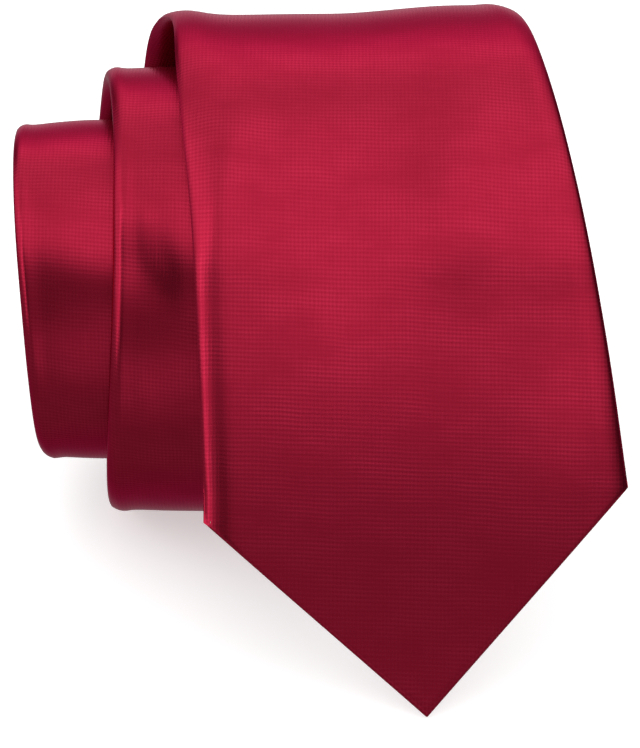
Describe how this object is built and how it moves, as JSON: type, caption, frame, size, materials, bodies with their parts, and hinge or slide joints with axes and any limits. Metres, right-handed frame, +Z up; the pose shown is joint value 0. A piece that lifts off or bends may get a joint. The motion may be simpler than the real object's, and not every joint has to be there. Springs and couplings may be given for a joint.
{
  "type": "necktie",
  "caption": "Men's satin necktie rolled up from its narrow end, the turns stepped to one side and the pointed wide blade hanging in front.",
  "frame": {"origin": "on the table, under the middle of the rolled tie's bounding box", "axes": "+Z up; -Y the way the pointed blade faces; +X along the roll's axis, away from the side its inner turns step out to"},
  "size_m": [0.1183, 0.1394, 0.101],
  "materials": {
    "satin": "satin weave, dark red",
    "interlining_wool": "brushed, matte",
    "lining": "plain weave, dark red",
    "sewing_thread": "twisted thread",
    "label_weave": "woven, matte",
    "tag_tape": "matte"
  },
  "bodies": {
    "roll": {"blade_shell_roll": "satin", "neck_shell": "satin", "tail_shell": "satin", "interlining_roll": "interlining_wool", "narrow_tipping": "lining", "narrow_bar_tack": "sewing_thread", "slip_stitch": "sewing_thread", "join_thread_wide": "sewing_thread", "join_thread_narrow": "sewing_thread", "keeper_loop": "satin", "keeper_tack_left": "sewing_thread", "keeper_tack_right": "sewing_thread", "label": "label_weave", "label_stitch_left": "sewing_thread", "label_stitch_right": "sewing_thread", "care_tag": "tag_tape"},
    "front_blade": {"blade_shell_front": "satin", "interlining_front": "interlining_wool", "wide_tipping": "lining", "tipping_stitch": "sewing_thread", "wide_bar_tack": "sewing_thread"}
  },
  "joints": [
    {"name": "blade_lift", "type": "hinge", "parent": "roll", "child": "front_blade", "pos_m": [0.01407, -0.02294, 0.08305], "axis": [-1, 0, 0], "range_deg": [0, 75]}
  ]
}
